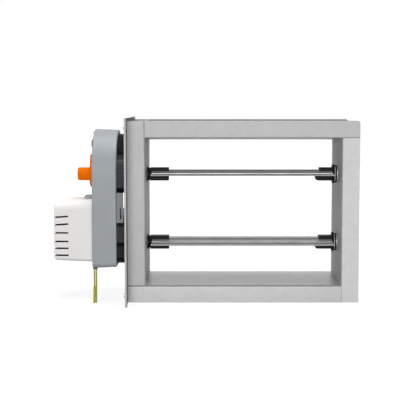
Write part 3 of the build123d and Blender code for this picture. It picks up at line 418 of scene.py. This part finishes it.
# %% Give each node its finish
finishes = {
    sill_zinc: ["bottom_rail"],
    right_rail_painted_light_zinc: ["right_rail"],
    duct_zinc: [
        "top_rail", "left_rail", "corner_angles", "plate_brackets", "tie_bar",
        "upper_crank", "lower_crank",
    ],
    stop_strip_painted_light_zinc: ["top_stop"],
    blade_zinc: ["upper_blade", "lower_blade"],
    ridge_zinc: ["upper_blade_ridge", "lower_blade_ridge"],
    plate_zinc: ["side_plate"],
    zinc_plate: [
        "backing_rings", "corner_rivets", "hem_rivets", "plate_screws", "standoff_screws",
        "case_screws", "lock_rings", "upper_crank_pin", "lower_crank_pin",
    ],
    turned_steel: [
        "drive_shaft", "lower_pivot", "reduction_axle", "motor_shaft", "motor_pinion",
        "upper_crank_screw", "lower_crank_screw",
    ],
    motor_can_painted_shade: ["gear_motor"],
    bush_bronze: ["base_bush", "knob_bush"],
    black_nylon: [
        "upper_left_blade_end", "upper_right_blade_end", "lower_left_blade_end",
        "lower_right_blade_end", "blade_bearings",
    ],
    standoff_painted_bands_nylon: ["upper_standoff", "lower_standoff"],
    pale_nylon: ["thrust_washers"],
    white_abs: ["vent_cover"],
    orange_abs: ["override_knob"],
    dark_plug: ["blanking_plug", "board_components"],
    gear_acetal: ["output_gear", "reduction_gear"],
    black_rubber: ["lead_grommet"],
    grey_enamel: ["actuator_case", "case_base"],
    stay_enamel: ["torque_stay"],
    latch_enamel: ["cover_latch"],
    laminate: ["control_board"],
    lead_pvc: ["left_lead", "right_lead"],
    sleeve_pvc: ["lead_sleeve"],
}
for material, names in finishes.items():
    for name in names:
        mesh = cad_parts[name].data
        mesh.materials.clear()
        mesh.materials.append(material)

dressed = {name for names in finishes.values() for name in names}
print("dressed", len(dressed), "left", sorted(set(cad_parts) - dressed))

# %% [markdown]
# ## A second finish on some faces
# A few pieces don't look the same all over. Bends and rims get a darker zinc as painted shade, so
# they read as darker lines, and so does the inside of the top rail's rear flange, which lies in the
# channel's shade. The inner face of the side plate is darkened as painted shade too, for the shaded
# gap beside the duct's flange. The rings and washers at the blades' left ends are dark, those at
# the right ends light. A mesh can hold two materials: the faces that pass a test get the second
# one, and no face is moved or cut.

# %% Second finish
UPPER_RIM_Z = 0.138
RIGHT_RIM_X = 0.176
REAR_FLANGE_Y = 0.14
REAR_FLANGE_Z = 0.114
LOWER_BEND_Z = -0.12
ONE_AXIS = 0.985
ONE_SIDE = 0.9


def second_finish(name, material, test):
    """Give the faces of a CAD piece that pass a test another material."""
    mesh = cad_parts[name].data
    mesh.materials.append(material)
    chosen = [face for face in mesh.polygons if test(face)]
    for face in chosen:
        face.material_index = len(mesh.materials) - 1
    print(name, len(chosen), "of", len(mesh.polygons), "faces")


def is_upper_rim(face):
    """True for the rims along the top of the flanges."""
    return face.center.z > UPPER_RIM_Z


def is_inside_rear_flange(face):
    """True for the front of the top rail's rear flange."""
    in_flange = face.center.y > REAR_FLANGE_Y and face.center.z > REAR_FLANGE_Z
    return in_flange and face.normal.y < -ONE_SIDE


def is_inner_bend(face):
    """True for bends above the bottom rail's lower edge: they point along none of the axes."""
    return max(abs(part) for part in face.normal) < ONE_AXIS and face.center.z > LOWER_BEND_Z


def is_on_the_left(face):
    """True in the left half of the duct."""
    return face.center.x < 0


# The darker zinc on rims, bends and the rear flange's inside is painted shade, and so is the darker
# zinc on the plate's inner face.
second_finish("top_rail", bend_painted_shade_zinc, lambda face: is_upper_rim(face) or is_inside_rear_flange(face))
second_finish("bottom_rail", bend_painted_shade_zinc, is_inner_bend)
second_finish("left_rail", bend_painted_shade_zinc, is_upper_rim)
second_finish("right_rail", bend_painted_shade_zinc, lambda face: face.center.x > RIGHT_RIM_X)
second_finish("side_plate", plate_inner_painted_shade_zinc, lambda face: face.normal.x > ONE_SIDE)
second_finish("backing_rings", ring_steel, is_on_the_left)
second_finish("thrust_washers", black_nylon, is_on_the_left)

# %% [markdown]
# ## Inner hood
# In the photograph the ventilation slots of the cover are black, though light could pass through
# the slots on both sides. The hood is painted shade: a dark box put behind the slots to stand for
# the shade inside the cover. It is a thin moulded box, open towards the board, with rounded edges.
# A cube without one face gives the box, a bevel its edges, and solidify its wall, so the mesh is
# closed. These steps hand back the same faces in another order each run, so the faces are sorted by
# their place along one slanting direction.

# %% Dark hood over the board, painted shade behind the slots
HOOD_LOW = Vector((-0.2875, 0.0375, -0.0730))
HOOD_HIGH = Vector((-0.2388, 0.1125, 0.0090))
HOOD_WALL = 0.0012
HOOD_ROUNDING = 0.003
HOOD_STEPS = 4
SORT_ALONG = Vector((1.0, 0.7312, 0.2917))


def add_piece(name, data, material):
    """New object in the scene, with one material."""
    data.materials.append(material)
    piece = bpy.data.objects.new(name, data)
    bpy.context.collection.objects.link(piece)
    return piece


# The hood built here is painted shade: a dark box that darkens the cover's slots.
made = bmesh.new()
bmesh.ops.create_cube(made, size=1.0)
for vert in made.verts:
    for i in range(3):
        vert.co[i] = HOOD_LOW[i] + (vert.co[i] + 0.5) * (HOOD_HIGH[i] - HOOD_LOW[i])
made.normal_update()
open_side = [face for face in made.faces if face.normal.x > ONE_SIDE]
bmesh.ops.delete(made, geom=open_side, context="FACES_ONLY")
bmesh.ops.bevel(
    made, geom=[edge for edge in made.edges if len(edge.link_faces) == 2],
    offset=HOOD_ROUNDING, segments=HOOD_STEPS, profile=0.5, affect="EDGES",
)
bmesh.ops.solidify(made, geom=made.faces[:], thickness=HOOD_WALL)
made.faces.sort(key=lambda face: face.calc_center_median().dot(SORT_ALONG))
hood_mesh = bpy.data.meshes.new("shade_hood")
made.to_mesh(hood_mesh)
made.free()
hood = add_piece("shade_hood", hood_mesh, black_nylon)
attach(hood, "frame")
print("hood", len(hood_mesh.polygons), "faces, wall", HOOD_WALL * MM_IN_M, "mm")

# %% [markdown]
# ## The two leads
# Two single-core leads hang from a grommet under the case. A lead is a soft thing on one smooth
# line, so each is a NURBS curve with a round bevel, through the same few points as the CAD route.
# The points are given from the place where the leads leave the case, half-way between them.

# %% A lead's line
LEAD_D = 0.0025
LEAD_SHIFT = 0.00155
LEAD_TOP = Vector((-0.2274, 0.0135, -0.0886))
LEAD_ROUTE = [
    (0, 0, 0), (0.0001, -0.0006, -0.0155), (0.0008, -0.009, -0.0325), (0.0016, -0.022, -0.0488),
]


def lead_exit(shift):
    """Where the lead at this sideways shift leaves the case."""
    return LEAD_TOP + Vector((shift, 0, 0))


def lead_line(name, shift, bevel):
    """Smooth open curve along a lead's route."""
    curve = bpy.data.curves.new(name, "CURVE")
    curve.dimensions = "3D"
    curve.resolution_u = 24
    curve.bevel_depth = bevel
    curve.bevel_resolution = 6
    curve.use_fill_caps = bevel > 0
    spline = curve.splines.new("NURBS")
    spline.points.add(len(LEAD_ROUTE) - 1)
    for point, offset in zip(spline.points, LEAD_ROUTE):
        point.co = (*(lead_exit(shift) + Vector(offset)), 1)
    spline.order_u = 3
    spline.use_endpoint_u = True
    return curve


def line_points(name, shift):
    """Points along a lead's smooth line, read from the curve itself."""
    bare = bpy.data.objects.new(name + " line", lead_line(name + " line", shift, 0.0))
    bpy.context.collection.objects.link(bare)
    bpy.context.view_layer.update()
    mesh = bpy.data.meshes.new_from_object(bare)
    points = [v.co.copy() for v in mesh.vertices]
    bpy.data.objects.remove(bare)
    bpy.data.meshes.remove(mesh)
    return points


def run_length(points):
    """Length along a row of points."""
    return sum((b - a).length for a, b in zip(points, points[1:]))


print("route of", len(LEAD_ROUTE), "points")

# %% Leads
lead_shifts = {"left_lead_core": -LEAD_SHIFT, "right_lead_core": LEAD_SHIFT}
replaced = {"left_lead_core": "left_lead", "right_lead_core": "right_lead"}
leads = {}
for name, shift in lead_shifts.items():
    leads[name] = add_piece(name, lead_line(name, shift, LEAD_D / 2), lead_pvc)
    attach(leads[name], "frame")
    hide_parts(replaced[name])
    print(name, round(run_length(line_points(name, shift)), 4), "m long")

# %% [markdown]
# ## Sleeve on the left lead
# A short, thicker sleeve is pushed over the lower half of the left lead. It has a bore that fits
# the lead and rims that are a little rounded, which a curve's bevel can't give. So it is a mesh:
# one outer and one inner ring of points at each point of the lead's line, and a rim at each end.

# %% Sleeve mesh
SLEEVE_RADIUS = 0.0017
SLEEVE_START = 0.48
SLEEVE_SIDES = 28
RIM_SHARE = 0.93


def tube_mesh(name, points, outer, inner, sides):
    """Tube with a bore along a row of points, its outer radius slightly smaller at the rims."""
    made = bmesh.new()
    last = len(points) - 1
    across = Vector((1, 0, 0))
    angles = [2 * pi * k / sides for k in range(sides)]
    outside, inside = [], []
    for i, point in enumerate(points):
        ahead = (points[min(i + 1, last)] - points[max(i - 1, 0)]).normalized()
        side = (across - ahead * across.dot(ahead)).normalized()
        up = ahead.cross(side)
        around = [side * cos(angle) + up * sin(angle) for angle in angles]
        radius = outer * (RIM_SHARE if i in (0, last) else 1.0)
        outside.append([made.verts.new(point + way * radius) for way in around])
        inside.append([made.verts.new(point + way * inner) for way in around])
    pairs = [(k, (k + 1) % sides) for k in range(sides)]
    for i in range(last):
        for k, n in pairs:
            made.faces.new((outside[i][k], outside[i][n], outside[i + 1][n], outside[i + 1][k]))
            made.faces.new((inside[i][n], inside[i][k], inside[i + 1][k], inside[i + 1][n]))
    for k, n in pairs:
        made.faces.new((outside[0][n], outside[0][k], inside[0][k], inside[0][n]))
    for k, n in pairs:
        made.faces.new((inside[last][n], inside[last][k], outside[last][k], outside[last][n]))
    mesh = bpy.data.meshes.new(name)
    made.to_mesh(mesh)
    made.free()
    for face in mesh.polygons:
        face.use_smooth = True
    return mesh


sleeve_line = line_points("sleeve", -LEAD_SHIFT)
covered_from = SLEEVE_START * run_length(sleeve_line)
kept, walked = [], 0.0
for a, b in zip(sleeve_line, sleeve_line[1:]):
    walked += (b - a).length
    if walked > covered_from:
        kept.append(b)
sleeve_mesh = tube_mesh("lead_end_sleeve", kept, SLEEVE_RADIUS, LEAD_D / 2, SLEEVE_SIDES)
sleeve = add_piece("lead_end_sleeve", sleeve_mesh, sleeve_pvc)
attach(sleeve, "frame")
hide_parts("lead_sleeve")
print("sleeve", len(kept), "rings")

# %% [markdown]
# ## Each lead's length, measured again
# A lead is flexible in real life and hangs stiffly to a bare end, and the left one carries the
# sleeve. This cell only measures each lead's length along its line once more, keeps nothing, and
# prints the leads' names.

# %% Measure the leads again
for name, shift in lead_shifts.items():
    run_length(line_points(name, shift))
print("cords", list(leads))

# %% [markdown]
# ## Floor
# The photograph is a studio shot on pure white. To the camera and in reflections the floor glows
# nearly white, brighter with the distance, and adds a little of its own diffuse shading, so that
# it still takes the damper's shadow. To all other rays it is a dark paper, so that the light that
# it throws up at the damper stays at a plain level.

# %% Floor
FLOOR_SIZE = 30
FLOOR_GAP = 0.0002
SHADOW_SHARE = 0.22
GLOW_NEAR, GLOW_FAR = 0.86, 1.0
NEAR_M, FAR_M = 0.8, 2.2
PAPER_DARK, PAPER_LIGHT = 0.14, 0.17
FIBRE_MM = 125.0


def seen_directly(tree):
    """Output that is 1 for camera, glossy and transmission rays, and 0 for all others."""
    ray = add_node(tree, "ShaderNodeLightPath").outputs
    seen = ray["Is Camera Ray"]
    for kind in ("Is Glossy Ray", "Is Transmission Ray"):
        seen = add_node(
            tree, "ShaderNodeMath", links={0: seen, 1: ray[kind]}, operation="MAXIMUM"
        ).outputs[0]
    return seen


floor_z = cad_low.z
bpy.ops.mesh.primitive_plane_add(size=FLOOR_SIZE, location=(0, 0, floor_z - FLOOR_GAP))
floor = bpy.context.object
floor.name = "studio_floor"
paper, tree, place = start_material("white paper sweep")
fibre = noise(tree, place, FIBRE_MM, detail=3.0)
dark_paper = add_node(
    tree, "ShaderNodeBsdfDiffuse", links={"Color": spread(tree, fibre, PAPER_DARK, PAPER_LIGHT)}
).outputs[0]
faint = add_node(
    tree, "ShaderNodeBsdfDiffuse", {"Color": (SHADOW_SHARE, SHADOW_SHARE, SHADOW_SHARE, 1)}
).outputs[0]
far = add_node(tree, "ShaderNodeVectorMath", links={0: place}, operation="LENGTH").outputs["Value"]
glow = add_node(
    tree, "ShaderNodeEmission", {"Color": (1, 1, 1, 1)},
    {"Strength": spread(tree, far, GLOW_NEAR, GLOW_FAR, start=NEAR_M, end=FAR_M)},
).outputs[0]
lit = add_node(tree, "ShaderNodeAddShader", links={0: faint, 1: glow}).outputs[0]
sweep = add_node(
    tree, "ShaderNodeMixShader", links={"Fac": seen_directly(tree), 1: dark_paper, 2: lit}
)
finish_material(tree, sweep)
floor.data.materials.append(paper)
print("floor at", round(floor_z, 4))

# %% [markdown]
# ## World
# The backdrop follows the same rule as the floor: white to the camera and in reflections, and
# only a weak, even light for the rest, as from the white walls of a studio.

# %% World
SKY_LIGHT, SKY_SEEN = 0.09, 1.0
world = bpy.data.worlds.new("soft studio")
bpy.context.scene.world = world
world.use_nodes = True
tree = world.node_tree
tree.nodes.clear()
sky = add_node(
    tree, "ShaderNodeBackground", {"Color": (1, 1, 1, 1)},
    {"Strength": spread(tree, seen_directly(tree), SKY_LIGHT, SKY_SEEN)},
)
add_node(tree, "ShaderNodeOutputWorld", links={"Surface": sky.outputs[0]})
print("world ready")

# %% [markdown]
# ## Soft lights
# A large softbox in front gives the flanges their even grey, and one overhead lights the tops and
# the duct's floor. Three weaker fills, left, right and behind, keep the sides that the camera
# doesn't see now from turning black. They are hidden from reflections, since a lamp mirrored in
# the duct's floor would be a bright patch that the photograph doesn't have.

# %% Softboxes
SOFTBOX_SIZE = 1.6
FILL_SIZE = 1.2
LIT_POINT = (0, 0.05, 0)
FILLED_POINT = (0, 0.08, 0)


def softbox(name, place, target, size, watts):
    """Large square area light that points at a target."""
    lamp = bpy.data.lights.new(name, "AREA")
    lamp.shape = "RECTANGLE"
    lamp.size = lamp.size_y = size
    lamp.energy = watts
    made = bpy.data.objects.new(name, lamp)
    made.location = place
    aim = Vector(target) - Vector(place)
    made.rotation_euler = aim.to_track_quat("-Z", "Y").to_euler()
    bpy.context.collection.objects.link(made)
    return made


for name, place, watts in (
    ("overhead softbox", (0.0, 0.1, 2.6), 57),
    ("front softbox", (-0.1, -3.4, 0.1), 117),
):
    softbox(name, place, LIT_POINT, SOFTBOX_SIZE, watts)
for name, place, watts in (
    ("left fill", (-3.6, 0.15, 0.5), 42),
    ("right fill", (3.6, 0.15, 0.5), 46),
    ("back fill", (0.0, 3.4, 1.4), 36),
):
    softbox(name, place, FILLED_POINT, FILL_SIZE, watts).visible_glossy = False
print("lights", len(bpy.data.lights))

# %% [markdown]
# ## Camera
# The camera stands a little left of the duct's middle and slightly above it, and looks a good
# five degrees down. Place, tilt and focal length follow from the proportions of the front and
# rear openings in the photograph. The Standard view shows each colour as it was rendered.

# %% Camera
SENSOR_MM = 36
FOCAL_MM = 97.9
CAMERA_PLACE = (-0.0539, -1.7133, 0.1664)
LEVEL_DEG = 90
TILT_DEG = 5.33
lens = bpy.data.cameras.new("photograph view")
lens.sensor_width = SENSOR_MM
lens.lens = FOCAL_MM
camera = bpy.data.objects.new("photograph view", lens)
camera.location = CAMERA_PLACE
camera.rotation_euler = (radians(LEVEL_DEG - TILT_DEG), 0, 0)
bpy.context.collection.objects.link(camera)
bpy.context.scene.camera = camera
bpy.context.scene.view_settings.view_transform = "Standard"
print("camera at", CAMERA_PLACE)
